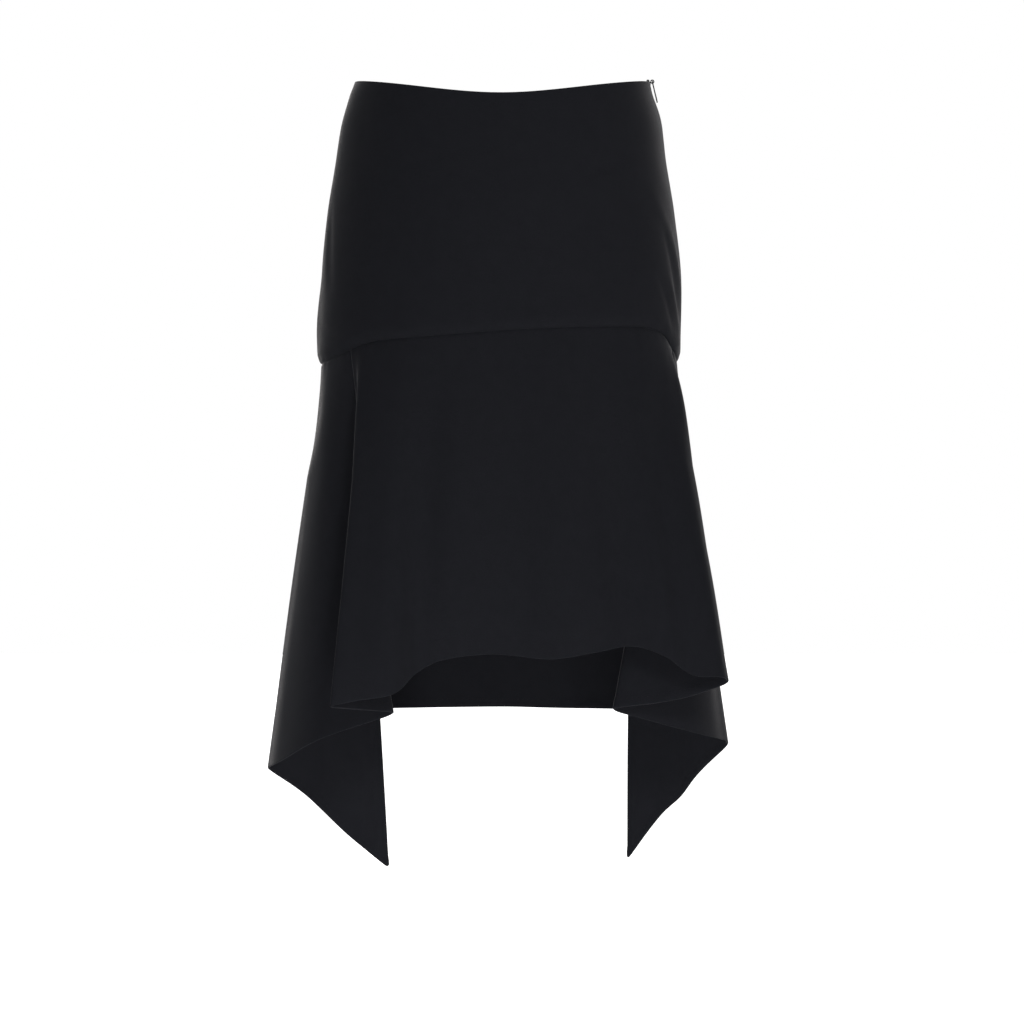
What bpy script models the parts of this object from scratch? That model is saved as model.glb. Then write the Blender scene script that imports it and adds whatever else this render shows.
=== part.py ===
"""A black skirt, worn and hollow: a fitted hip yoke over a flared flounce with pleats and long side points.

Sizes are in millimetres and are turned into metres when a mesh is made. The origin is the middle
of the waist opening, +Z is up, the front faces -Y and the wearer's left is +X. An angle round the
body counts from the front middle, 0, through the wearer's left side, 90, to the back, 180.
"""

import math
from collections import namedtuple

import bpy
import numpy as np

MM = 0.001

# The cloth
CLOTH = 1.2
SEAM_GAP = 0.3
SIDE_SEAM = 90.0

# The body's cross section: 2 would be an ellipse, and more is squarer
SQUARENESS = 2.2

# The waist edge dips at the front middle, and its corners stand up a little at the zip
FRONT_DIP = 20.0
DIP_SHARPNESS = 1.6
ZIP_RISE = 3.5
RISE_REACH = 4.0

# The yoke's lower edge rolls in over the seam, on this height and by this much
ROLL_HEIGHT = 11.0
ROLL_IN = 3.6

Ring = namedtuple("Ring", "drop half front back centre")
# One row for each level of the yoke: the drop below the waist, half the width, the depth each way,
# and how far the middle leans to the wearer's left
YOKE_RINGS = (
    Ring(-10, 136.0, 94, 97, 0.0),
    Ring(0, 138.5, 96, 100, -0.5),
    Ring(15, 143.0, 99, 105, -1.5),
    Ring(45, 151.0, 103, 114, -1.5),
    Ring(75, 155.0, 106, 121, -2.0),
    Ring(125, 163.0, 109, 129, -2.0),
    Ring(185, 169.0, 110, 130, -1.5),
    Ring(240, 170.5, 110, 125, -3.3),
    Ring(280, 170.5, 110, 122, -3.8),
)

SeamPoint = namedtuple("SeamPoint", "angle drop")
# The seam under the yoke, which dips at both sides and hangs lower on the wearer's right
SEAM_LINE = (
    SeamPoint(-180, 238),
    SeamPoint(-150, 240),
    SeamPoint(-122, 245),
    SeamPoint(-112, 252),
    SeamPoint(-102, 261),
    SeamPoint(-90, 266),
    SeamPoint(-78, 264),
    SeamPoint(-69, 259),
    SeamPoint(-60, 251),
    SeamPoint(-52, 247),
    SeamPoint(-35, 244),
    SeamPoint(0, 239),
    SeamPoint(40, 235),
    SeamPoint(60, 234),
    SeamPoint(70, 238),
    SeamPoint(80, 254),
    SeamPoint(91, 264),
    SeamPoint(104, 259),
    SeamPoint(116, 249),
    SeamPoint(128, 243),
    SeamPoint(150, 240),
    SeamPoint(180, 238),
)

Fold = namedtuple("Fold", "angle x y drop turn piece", defaults=("",))
# The flounce, once round from the wearer's right front: where a line of cloth starts on the seam,
# where it ends on the hem, and how far from a fold's edge the cloth begins to turn. Rows with no
# turn are soft waves between the folds. A name is the piece that starts at that row.
FLOUNCE_FOLDS = (
    Fold(-64.5, -95, -102, 589, 18, "front_flounce"),
    Fold(-60, -160, -156, 581, 13),
    Fold(-54, -133, -148, 576, 0),
    Fold(-45, -99, -140, 570, 0),
    Fold(-38, -78, -122, 552, 0),
    Fold(-30, -58, -116, 541, 0),
    Fold(-6, -10, -117, 535, 0),
    Fold(17, 45, -125, 539, 0),
    Fold(34, 86, -119, 533, 0),
    Fold(47, 120, -109, 528, 0),
    Fold(57, 148, -112, 537, 0),
    Fold(66, 174, -113, 554, 0),
    Fold(73, 200, -111, 556, 0),
    Fold(76.5, 212.5, -94, 561, 19),
    Fold(78, 163, -90, 577, 0),
    Fold(79.5, 96, -78, 587, 18, "left_gore"),
    Fold(83.5, 177, -49, 610, 0),
    Fold(95, 216, 10, 623, 16),
    Fold(103, 187, 30, 653, 0),
    Fold(110, 171, 44, 676, 0),
    Fold(117, 150, 53, 697, 0),
    Fold(124.5, 118, 60, 741, 12, "back_flounce"),
    Fold(127, 197, 128, 602, 14),
    Fold(140, 130, 141, 599, 0),
    Fold(160, 66, 128, 597, 0),
    Fold(178, 8, 136, 596, 0),
    Fold(-163, -58, 127, 596, 0),
    Fold(-142, -122, 140, 598, 0),
    Fold(-122, -192, 131, 601, 14),
    Fold(-120.8, -150, 96, 668, 0),
    Fold(-119.5, -108, 60, 749, 12, "right_gore"),
    Fold(-109, -150, 50, 713, 0),
    Fold(-99, -188, 34, 675, 0),
    Fold(-88, -224, 14, 648, 16),
    Fold(-83.5, -208.5, -42, 638, 0),
    Fold(-76, -168, -88, 614, 0),
)

# How finely the flounce is cut up: rows down it, and columns to a fold, a narrow and a wide stretch
ROW_SHARES = (0, 0.04, 0.1, 0.2, 0.35, 0.52, 0.7, 0.86, 1)
FOLD_COLUMNS = 6
COLUMN_WIDTH = 18.0
TOP_WIDTH_SHARE = 0.25
FULLNESS = 0.75
CURVE_POINTS = 48

# The yoke's rows: its columns are the flounce's, so that both edges of the seam match
YOKE_ROWS = (0, 0.06, 0.18, 0.36, 0.56, 0.78, 0.95, 0.98, 1)
CLOSEST_COLUMNS = 0.8

# The concealed zip in the wearer's left side seam
ZIP_LENGTH = 195.0
ZIP_TOP = 6.0
TAPE_WIDTH = 12.0
TAPE = 1.0
NOTCH_DEPTH = 9.0
NOTCH_END = 15.0
NOTCH_HALF = 1.0

# The zip's slider and its pull tab, along x outwards, y along the cloth and z up
SLIDER_BODY = (2.6, 6.0, 9.0)
SLIDER_TOP = 1.0
NECK_WIDTH = 1.0
NECK_HEIGHT = 3.2
EYE_CENTRE = (2.3, 1.2)
EYE_HOLE = 1.0
EYE_RADIUS = 2.0
EYE_SIDES = 24
PULL_THICK = 1.0
PULL_LEAN = 13.5
SLOT_TOP, SLOT_END, SLOT_HALF = 0.4, 2.6, 1.0
PullRow = namedtuple("PullRow", "along half")
PULL_OUTLINE = (
    PullRow(-0.4, 2.2),
    PullRow(0.4, 2.6),
    PullRow(3.6, 2.5),
    PullRow(6.5, 1.8),
    PullRow(10.0, 1.9),
    PullRow(14.0, 2.7),
    PullRow(17.5, 2.8),
    PullRow(19.6, 2.0),
    PullRow(20.4, 0.8),
)

# Colours, from the photograph
CLOTH_COLOUR = (0.012, 0.012, 0.014, 1)
TAPE_COLOUR = (0.010, 0.010, 0.011, 1)
METAL_COLOUR = (0.02, 0.02, 0.022, 1)


def clear_scene():
    for obj in list(bpy.data.objects):
        bpy.data.objects.remove(obj, do_unlink=True)


def material(name, colour, roughness, metallic=0.0):
    made = bpy.data.materials.new(name)
    made.use_nodes = True
    surface = made.node_tree.nodes["Principled BSDF"]
    surface.inputs["Base Color"].default_value = colour
    surface.inputs["Roughness"].default_value = roughness
    surface.inputs["Metallic"].default_value = metallic
    return made


def add_mesh(name, points, faces, finish, smooth=True):
    """A new object from points in millimetres."""
    mesh = bpy.data.meshes.new(name)
    mesh.from_pydata([tuple(MM * float(c) for c in p) for p in points], [], faces)
    mesh.validate()
    mesh.materials.append(finish)
    if smooth:
        mesh.shade_smooth()
        mesh.set_sharp_from_angle(angle=math.radians(50))
    obj = bpy.data.objects.new(name, mesh)
    bpy.context.scene.collection.objects.link(obj)
    return obj


def curve_through(knots, values, at):
    """Values at the given places on a smooth curve that does not overshoot its knots."""
    knots = np.asarray(knots, float)
    values = np.asarray(values, float)
    steps = np.diff(knots)
    slopes = np.diff(values) / steps
    tangents = np.zeros_like(values)
    tangents[0], tangents[-1] = slopes[0], slopes[-1]
    same_way = slopes[:-1] * slopes[1:] > 0
    total = slopes[:-1] + slopes[1:]
    mean = 2 * slopes[:-1] * slopes[1:] / np.where(same_way, total, 1)
    tangents[1:-1] = np.where(same_way, mean, 0)
    at = np.clip(at, knots[0], knots[-1])
    i = np.clip(np.searchsorted(knots, at, side="right") - 1, 0, len(steps) - 1)
    t = (at - knots[i]) / steps[i]
    return (
        values[i] * (1 + 2 * t) * (1 - t) ** 2
        + tangents[i] * steps[i] * t * (1 - t) ** 2
        + values[i + 1] * t**2 * (3 - 2 * t)
        + tangents[i + 1] * steps[i] * t**2 * (t - 1)
    )


def seam_drop(angle):
    return curve_through([p.angle for p in SEAM_LINE], [p.drop for p in SEAM_LINE], angle)


def waist_drop(angle):
    """How far the waist edge lies below the origin."""
    forward = np.clip(np.cos(np.radians(angle)), 0, None)
    beside = np.clip(1 - np.abs(angle - SIDE_SEAM) / RISE_REACH, 0, 1)
    return FRONT_DIP * forward**DIP_SHARPNESS - ZIP_RISE * beside


def body_point(angle, drop, inset=0.0):
    """A point of the yoke's middle surface, this far inside it."""
    drops = [r.drop for r in YOKE_RINGS]
    half = curve_through(drops, [r.half for r in YOKE_RINGS], drop) - inset
    front = curve_through(drops, [r.front for r in YOKE_RINGS], drop) - inset
    back = curve_through(drops, [r.back for r in YOKE_RINGS], drop) - inset
    side_way, front_way = np.sin(np.radians(angle)), np.cos(np.radians(angle))
    depth = np.where(front_way > 0, front, back)
    power = np.abs(side_way / half) ** SQUARENESS + np.abs(front_way / depth) ** SQUARENESS
    radius = power ** (-1 / SQUARENESS)
    centre = curve_through(drops, [r.centre for r in YOKE_RINGS], drop)
    level = -drop * np.ones_like(radius)
    return np.stack([centre + radius * side_way, -radius * front_way, level], axis=-1)


def yoke_point(angle, share):
    """A point of the yoke, from its waist edge at share 0 to its seam at 1."""
    top, low = waist_drop(angle), seam_drop(angle)
    drop = top + (low - top) * share
    above = np.clip((low - drop) / ROLL_HEIGHT, 0, 1)
    return body_point(angle, drop, ROLL_IN * (1 - above) ** 2)


def unit(vectors):
    return vectors / np.maximum(np.linalg.norm(vectors, axis=-1, keepdims=True), 1e-9)


def outward(grid, closed=False, flat_rows=()):
    """Each point's normal on a grid of rows by columns. On the flat rows it has no slope."""
    if closed:
        across = np.roll(grid, -1, axis=1) - np.roll(grid, 1, axis=1)
    else:
        across = np.gradient(grid, axis=1)
    normals = unit(np.cross(np.gradient(grid, axis=0), across))
    for row in flat_rows:
        flat = np.stack([across[row, :, 1], -across[row, :, 0], 0 * across[row, :, 0]], axis=-1)
        normals[row] = unit(flat)
    return normals


def add_wall(name, grid, normals, thickness, finish):
    """A sheet of cloth with two faces and four edges, on a grid of rows by columns."""
    rows, columns = grid.shape[:2]
    outer = grid + normals * thickness / 2
    inner = grid - normals * thickness / 2
    points = np.concatenate([outer.reshape(-1, 3), inner.reshape(-1, 3)])
    behind = rows * columns
    faces = []
    for r in range(rows - 1):
        for c in range(columns - 1):
            a = r * columns + c
            b, d = a + 1, a + columns
            e = d + 1
            faces += [(a, d, b), (b, d, e)]
            faces += [(behind + a, behind + b, behind + d), (behind + b, behind + e, behind + d)]
    top = list(range(columns))
    right = [r * columns + columns - 1 for r in range(1, rows)]
    bottom = [(rows - 1) * columns + c for c in range(columns - 2, -1, -1)]
    left = [r * columns for r in range(rows - 2, 0, -1)]
    edge = top + right + bottom + left
    for a, b in zip(edge, edge[1:] + edge[:1]):
        faces += [(a, b, behind + b), (a, behind + b, behind + a)]
    return add_mesh(name, points, faces, finish)


def part_seam(grid, edge, half_gap):
    """Moves an edge column, the first or the last, inwards to leave half the gap of a seam."""
    neighbour = 1 if edge == 0 else -2
    step = unit(grid[:, neighbour] - grid[:, edge])
    grid[:, edge] += step * np.reshape(half_gap, (-1, 1))


def notch(drop):
    """Half the gap at the zip's side seam: the slider parts the cloth near the waist."""
    depths = [0, NOTCH_DEPTH, NOTCH_END, NOTCH_END + 1]
    halves = [NOTCH_HALF, NOTCH_HALF, SEAM_GAP / 2, SEAM_GAP / 2]
    return np.interp(drop, depths, halves)


def plan_angle(points):
    """The angle round the body of each point, about the middle at the seam's level."""
    across = points[..., 0] - YOKE_RINGS[-2].centre
    return np.degrees(np.arctan2(across, -points[..., 1]))


def yoke_grid(flounce):
    """The yoke's middle surface, from the wearer's right side and round, and its left seam's column."""
    past = np.sort((plan_angle(flounce[0]) + SIDE_SEAM) % 360)
    from_seam = past % 180
    clear = (from_seam > CLOSEST_COLUMNS) & (from_seam < 180 - CLOSEST_COLUMNS)
    turned = np.sort(np.concatenate([[0, 180], past[clear]]))
    angles = turned - SIDE_SEAM
    angles = np.where(angles > 180, angles - 360, angles)
    grid = np.stack([yoke_point(angles, share) for share in YOKE_ROWS])
    return grid, int(np.searchsorted(turned, 180))


def yoke_halves(flounce):
    """The front and the back yoke, each as its middle surface and its normals."""
    grid, left_seam = yoke_grid(flounce)
    normals = outward(grid, closed=True, flat_rows=(0, -1))
    columns = grid.shape[1]
    halves = []
    for first, last, zip_end in ((0, left_seam, -1), (left_seam, columns, 0)):
        chosen = np.arange(first, last + 1) % columns
        piece = grid[:, chosen].copy()
        plain_end = -1 - zip_end
        part_seam(piece, zip_end, notch(-piece[:, zip_end, 2]))
        part_seam(piece, plain_end, np.full(len(piece), SEAM_GAP / 2))
        halves.append((piece, normals[:, chosen]))
    return halves


def between(grid, rows, columns):
    """Points of a grid at places between its rows and columns."""
    r = np.clip(np.floor(rows).astype(int), 0, grid.shape[0] - 2)
    c = np.clip(np.floor(columns).astype(int), 0, grid.shape[1] - 2)
    down = (rows - r)[:, None, None]
    across = (columns - c)[None, :, None]
    upper = grid[r][:, c] * (1 - across) + grid[r][:, c + 1] * across
    lower = grid[r + 1][:, c] * (1 - across) + grid[r + 1][:, c + 1] * across
    return upper * (1 - down) + lower * down


def steps_between(start, end):
    """Both ends and every whole number between them."""
    whole = np.arange(math.floor(start) + 1, math.ceil(end))
    return np.concatenate([[start], whole, [end]])


def spline(points, shares):
    """A smooth curve through a few points, with the shares of its length as its knots."""
    lengths = np.linalg.norm(np.diff(points[:, :2], axis=0), axis=1)
    knots = np.concatenate([[0], np.cumsum(lengths)]) / lengths.sum()
    ends = np.concatenate(
        [2 * points[:1] - points[1:2], points, 2 * points[-1:] - points[-2:-1]]
    )
    gaps = np.concatenate([[knots[1]], np.diff(knots), [1 - knots[-2]]])
    i = np.clip(np.searchsorted(knots, shares, side="right") - 1, 0, len(knots) - 2)
    t = ((shares - knots[i]) / gaps[i + 1])[:, None]
    before, start, end, after = ends[i], ends[i + 1], ends[i + 2], ends[i + 3]
    width = gaps[i + 1][:, None]
    leave = width * (end - before) / (gaps[i][:, None] + width)
    arrive = width * (after - start) / (gaps[i + 2][:, None] + width)
    return (
        start * (1 + 2 * t) * (1 - t) ** 2
        + leave * t * (1 - t) ** 2
        + end * t**2 * (3 - 2 * t)
        + arrive * t**2 * (t - 1)
    )


def stretches():
    """The runs of cloth between folds, each as the fold numbers at and between its ends."""
    count = len(FLOUNCE_FOLDS)
    folds = [i for i in range(count) if FLOUNCE_FOLDS[i].turn]
    runs = []
    for first, last in zip(folds, folds[1:] + [folds[0] + count]):
        runs.append([i % count for i in range(first, last + 1)])
    return runs


def stretch_lines(run):
    """The seam end and the hem end of many lines of cloth across one run."""
    rows = [FLOUNCE_FOLDS[i] for i in run]
    hem = np.array([(r.x, r.y, -r.drop) for r in rows], float)
    angles = np.unwrap([r.angle for r in rows], period=360)
    shares = np.linspace(0, 1, CURVE_POINTS)
    packed = spline(np.column_stack([hem, angles]), shares)
    angle = (packed[:, 3] + 180) % 360 - 180
    top = yoke_point(angle, 1.0)
    top[:, 2] -= SEAM_GAP
    return top, packed[:, :3]


def sample(line, lengths, at):
    return np.stack([np.interp(at, lengths, line[:, k]) for k in range(3)], axis=1)


def section(share, runs, lines, counts):
    """The flounce's closed middle line at this share of the way down, its folds rounded."""
    level = [top + share * (hem - top) for top, hem in lines]
    along = [
        np.concatenate([[0], np.cumsum(np.linalg.norm(np.diff(p, axis=0), axis=1))])
        for p in level
    ]
    turns = []
    for i, run in enumerate(runs):
        room = 0.42 * min(along[i][-1], along[i - 1][-1])
        turns.append(min(FLOUNCE_FOLDS[run[0]].turn, room))
    points = []
    for i, line in enumerate(level):
        leave, arrive = turns[i], turns[(i + 1) % len(runs)]
        at = np.linspace(leave, along[i][-1] - arrive, counts[i] + 1)
        points.append(sample(line, along[i], at))
    ring = []
    for i, stretch in enumerate(points):
        before, corner = points[i - 1][-1], level[i][0]
        handle_a = before + FULLNESS * (corner - before)
        handle_b = stretch[0] + FULLNESS * (corner - stretch[0])
        t = np.linspace(0, 1, FOLD_COLUMNS + 1)[1:-1, None]
        ring.append(
            before * (1 - t) ** 3
            + 3 * handle_a * t * (1 - t) ** 2
            + 3 * handle_b * t**2 * (1 - t)
            + stretch[0] * t**3
        )
        ring.append(stretch)
    return np.concatenate(ring)


def flounce_grid():
    """The flounce's middle surface, and the column of each fold's edge."""
    runs = stretches()
    lines = [stretch_lines(run) for run in runs]
    counts = []
    for top, hem in lines:
        wide = np.linalg.norm(np.diff(hem, axis=0), axis=1).sum()
        narrow = np.linalg.norm(np.diff(top, axis=0), axis=1).sum()
        width = (1 - TOP_WIDTH_SHARE) * wide + TOP_WIDTH_SHARE * narrow
        counts.append(max(3, round(width / COLUMN_WIDTH)))
    grid = np.stack([section(share, runs, lines, counts) for share in ROW_SHARES])
    grid[0] = yoke_point(plan_angle(grid[0]), 1.0) - [0, 0, SEAM_GAP]
    edges, column = {}, 0
    for run, count in zip(runs, counts):
        edges[run[0]] = column + FOLD_COLUMNS // 2 - 1
        column += FOLD_COLUMNS - 1 + count + 1
    return grid, edges


def make_flounce(grid, edges, finish):
    normals = outward(grid, closed=True, flat_rows=(0,))
    columns = grid.shape[1]
    starts = [i for i, row in enumerate(FLOUNCE_FOLDS) if row.piece]
    for first, last in zip(starts, starts[1:] + starts[:1]):
        start, end = edges[first], edges[last]
        if end <= start:
            end += columns
        chosen = np.arange(start, end + 1) % columns
        piece = grid[:, chosen].copy()
        half = np.full(len(piece), SEAM_GAP / 2)
        part_seam(piece, 0, half)
        part_seam(piece, -1, half)
        add_wall(FLOUNCE_FOLDS[first].piece, piece, normals[:, chosen], CLOTH, finish)


def make_tapes(halves, finish):
    """The zip's two woven tapes, which lie on the yoke's inside at its left seam."""
    depth = CLOTH / 2 + SEAM_GAP + TAPE / 2
    for name, (grid, normals), edge in zip(("zip_tape_front", "zip_tape_back"), halves, (-1, 0)):
        drops = -grid[:, edge, 2]
        order = np.arange(len(drops))
        rows = steps_between(np.interp(ZIP_TOP, drops, order), np.interp(ZIP_LENGTH, drops, order))
        last = grid.shape[1] - 1
        from_edge = np.linalg.norm(grid[1] - grid[1, edge], axis=-1)
        if edge == 0:
            columns = steps_between(0, np.interp(TAPE_WIDTH, from_edge[:9], np.arange(9)))
        else:
            inwards = np.interp(TAPE_WIDTH, from_edge[::-1][:9], np.arange(9))
            columns = steps_between(last - inwards, last)
        way = unit(between(normals, rows, columns))
        add_wall(name, between(grid, rows, columns) - way * depth, way, TAPE, finish)


def add_block(name, centre, size, finish):
    """A plain block in millimetres, by its middle and its full size."""
    corners = [
        [centre[k] + size[k] * (bit[k] - 0.5) for k in range(3)]
        for bit in ((x, y, z) for x in (0, 1) for y in (0, 1) for z in (0, 1))
    ]
    faces = [
        (0, 1, 3, 2),
        (4, 6, 7, 5),
        (0, 4, 5, 1),
        (2, 3, 7, 6),
        (0, 2, 6, 4),
        (1, 5, 7, 3),
    ]
    return add_mesh(name, corners, faces, finish, smooth=False)


def add_frame(name, outer, inner, half_thick, place, finish):
    """A flat plate with one hole: two outlines with as many points, and a rule that places them."""
    count = len(outer)
    points = [
        place(a, b, half)
        for half in (half_thick, -half_thick)
        for a, b in list(outer) + list(inner)
    ]
    back = 2 * count
    faces = []
    for i in range(count):
        j = (i + 1) % count
        faces += [
            (i, j, count + j, count + i),
            (back + i, back + count + i, back + count + j, back + j),
            (i, back + i, back + j, j),
            (count + i, count + j, back + count + j, back + count + i),
        ]
    return add_mesh(name, points, faces, finish, smooth=False)


def outer_face(drop):
    """How far out the cloth's outer face is at the side seam."""
    return float(body_point(np.array(SIDE_SEAM), np.array(float(drop)))[0]) + CLOTH / 2


def eye_place():
    return outer_face(0) + EYE_CENTRE[0], EYE_CENTRE[1]


def make_slider(finish):
    """The slider: a body on the inside, a neck between the cloth's edges and an eye outside."""
    eye_x, eye_z = eye_place()
    turn = np.linspace(0, 2 * math.pi, EYE_SIDES, endpoint=False)
    circle = np.column_stack([np.cos(turn), np.sin(turn)])
    eye = add_frame(
        "zip_slider",
        circle * EYE_RADIUS,
        circle * EYE_HOLE,
        NECK_WIDTH / 2,
        lambda a, b, half: (eye_x + a, -half, eye_z + b),
        finish,
    )
    thick, wide, high = SLIDER_BODY
    clear = CLOTH + 2 * SEAM_GAP + TAPE
    body_outer = outer_face(0) - clear
    body = add_block(
        "slider_body",
        (body_outer - thick / 2, 0, SLIDER_TOP - high / 2),
        SLIDER_BODY,
        finish,
    )
    neck_start = body_outer - thick / 2
    neck_end = eye_x - (EYE_HOLE + EYE_RADIUS) / 2
    neck = add_block(
        "slider_neck",
        ((neck_start + neck_end) / 2, 0, SLIDER_TOP - NECK_HEIGHT / 2),
        (neck_end - neck_start, NECK_WIDTH - 0.1, NECK_HEIGHT),
        finish,
    )
    for helper in (body, neck):
        helper.hide_render = True
        helper.display_type = "WIRE"
        join = eye.modifiers.new("join " + helper.name, "BOOLEAN")
        join.operation = "UNION"
        join.object = helper


def pull_outline():
    """The tab's outer edge and its slot, with as many points each, as (across, along)."""
    left = [(-row.half, row.along) for row in PULL_OUTLINE]
    right = [(row.half, row.along) for row in reversed(PULL_OUTLINE)]
    outer = np.array(left + right)
    middle = (SLOT_TOP + SLOT_END) / 2
    reach = (SLOT_END - SLOT_TOP) / 2
    inner = []
    for across, along in outer:
        turn = math.atan2(along - middle, across)
        stretch = max(abs(math.cos(turn)) / SLOT_HALF, abs(math.sin(turn)) / reach)
        inner.append((math.cos(turn) / stretch, middle + math.sin(turn) / stretch))
    return outer, np.array(inner)


def make_pull(finish):
    """The pull tab, which hangs from the slider's eye and lies on the sloping cloth."""
    outer, inner = pull_outline()
    eye_x, eye_z = eye_place()
    lean = math.radians(PULL_LEAN)

    def place(across, along, half):
        out = along * math.sin(lean) + half * math.cos(lean)
        up = -along * math.cos(lean) + half * math.sin(lean)
        return (out, across, up)

    pull = add_frame("zip_pull", outer, inner, PULL_THICK / 2, place, finish)
    pull.location = (eye_x * MM, 0, eye_z * MM)


def main():
    clear_scene()
    cloth = material("black crepe", CLOTH_COLOUR, 0.85)
    tape = material("zip tape", TAPE_COLOUR, 0.8)
    metal = material("black zip metal", METAL_COLOUR, 0.35, 0.6)
    grid, edges = flounce_grid()
    halves = yoke_halves(grid)
    for name, (middle, normals) in zip(("front_yoke", "back_yoke"), halves):
        add_wall(name, middle, normals, CLOTH, cloth)
    make_flounce(grid, edges, cloth)
    make_tapes(halves, tape)
    make_slider(metal)
    make_pull(metal)


main()
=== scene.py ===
"""The looks of a black skirt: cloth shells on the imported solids' forms, its sewing, zip and light.

Lengths are millimetres and are turned into metres when a mesh is made, apart from those that a
comment gives in metres. The origin is the middle of the waist opening, +Z is up, the front faces -Y
and the wearer's left is +X. Angles go round the body in degrees, from 0 at the front to 90 at the
wearer's left. A drop is a distance below the origin.
"""

import math
from collections import namedtuple

import bpy
import numpy as np
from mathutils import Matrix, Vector


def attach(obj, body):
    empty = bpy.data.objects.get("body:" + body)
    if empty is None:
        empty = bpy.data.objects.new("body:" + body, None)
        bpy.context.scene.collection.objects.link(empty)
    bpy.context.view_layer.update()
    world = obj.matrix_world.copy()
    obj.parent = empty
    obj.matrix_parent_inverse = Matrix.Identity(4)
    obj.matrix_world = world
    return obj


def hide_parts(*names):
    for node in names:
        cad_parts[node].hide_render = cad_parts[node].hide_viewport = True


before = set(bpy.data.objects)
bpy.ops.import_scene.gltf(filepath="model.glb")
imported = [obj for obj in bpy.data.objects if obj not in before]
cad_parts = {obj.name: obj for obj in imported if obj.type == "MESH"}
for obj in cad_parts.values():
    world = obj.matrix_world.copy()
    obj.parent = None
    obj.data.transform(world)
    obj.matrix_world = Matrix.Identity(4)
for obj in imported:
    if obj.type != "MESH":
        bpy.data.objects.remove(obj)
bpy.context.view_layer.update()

MM = 0.001

# The cloth, and the extra layer where it is turned in at a hem or a seam
CLOTH = 1.2
TURNING = 0.5

# The angle of the side seam with the zip, and how square the yoke's rings are
SIDE_SEAM = 90.0
SQUARENESS = 2.2

# How far the waist edge dips at the front and how sharply, and how far it rises at the zip, within
# how many degrees of the side seam
FRONT_DIP = 20.0
DIP_SHARPNESS = 1.6
ZIP_RISE = 3.5
RISE_REACH = 4.0

# How far above its seam the yoke starts to roll in, and how far it does
ROLL_HEIGHT = 11.0
ROLL_IN = 3.6

Ring = namedtuple("Ring", "drop half front back centre")
# One row for each level of the yoke: half the width, the depth to the front and back, and how far
# the middle leans to the wearer's left
YOKE_RINGS = (
    Ring(-10, 136.0, 94, 97, 0.0),
    Ring(0, 138.5, 96, 100, -0.5),
    Ring(15, 143.0, 99, 105, -1.5),
    Ring(45, 151.0, 103, 114, -1.5),
    Ring(75, 155.0, 106, 121, -2.0),
    Ring(125, 163.0, 109, 129, -2.0),
    Ring(185, 169.0, 110, 130, -1.5),
    Ring(240, 170.5, 110, 125, -3.3),
    Ring(280, 170.5, 110, 122, -3.8),
)

SeamPoint = namedtuple("SeamPoint", "angle drop")
# The seam under the yoke, which dips at both sides and hangs lower on the wearer's right
SEAM_LINE = (
    SeamPoint(-180, 238),
    SeamPoint(-150, 240),
    SeamPoint(-122, 245),
    SeamPoint(-112, 252),
    SeamPoint(-102, 261),
    SeamPoint(-90, 266),
    SeamPoint(-78, 264),
    SeamPoint(-69, 259),
    SeamPoint(-60, 251),
    SeamPoint(-52, 247),
    SeamPoint(-35, 244),
    SeamPoint(0, 239),
    SeamPoint(40, 235),
    SeamPoint(60, 234),
    SeamPoint(70, 238),
    SeamPoint(80, 254),
    SeamPoint(91, 264),
    SeamPoint(104, 259),
    SeamPoint(116, 249),
    SeamPoint(128, 243),
    SeamPoint(150, 240),
    SeamPoint(180, 238),
)

Fold = namedtuple("Fold", "angle x y drop turn piece", defaults=("",))
# The flounce, once round from the wearer's right front: the angle where a line of cloth starts on
# the seam, where it ends on the hem, and how far from a fold's edge the cloth begins to turn. Rows
# with no turn are soft waves between the folds. A name is the piece that starts at that row.
FLOUNCE_FOLDS = (
    Fold(-64.5, -95, -102, 589, 18, "front_flounce"),
    Fold(-60, -160, -156, 581, 13),
    Fold(-54, -133, -148, 576, 0),
    Fold(-45, -99, -140, 570, 0),
    Fold(-38, -78, -122, 552, 0),
    Fold(-30, -58, -116, 541, 0),
    Fold(-6, -10, -117, 535, 0),
    Fold(17, 45, -125, 539, 0),
    Fold(34, 86, -119, 533, 0),
    Fold(47, 120, -109, 528, 0),
    Fold(57, 148, -112, 537, 0),
    Fold(66, 174, -113, 554, 0),
    Fold(73, 200, -111, 556, 0),
    Fold(76.5, 212.5, -94, 561, 19),
    Fold(78, 163, -90, 577, 0),
    Fold(79.5, 96, -78, 587, 18, "left_gore"),
    Fold(83.5, 177, -49, 610, 0),
    Fold(95, 216, 10, 623, 16),
    Fold(103, 187, 30, 653, 0),
    Fold(110, 171, 44, 676, 0),
    Fold(117, 150, 53, 697, 0),
    Fold(124.5, 118, 60, 741, 12, "back_flounce"),
    Fold(127, 197, 128, 602, 14),
    Fold(140, 130, 141, 599, 0),
    Fold(160, 66, 128, 597, 0),
    Fold(178, 8, 136, 596, 0),
    Fold(-163, -58, 127, 596, 0),
    Fold(-142, -122, 140, 598, 0),
    Fold(-122, -192, 131, 601, 14),
    Fold(-120.8, -150, 96, 668, 0),
    Fold(-119.5, -108, 60, 749, 12, "right_gore"),
    Fold(-109, -150, 50, 713, 0),
    Fold(-99, -188, 34, 675, 0),
    Fold(-88, -224, 14, 648, 16),
    Fold(-83.5, -208.5, -42, 638, 0),
    Fold(-76, -168, -88, 614, 0),
)

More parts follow.
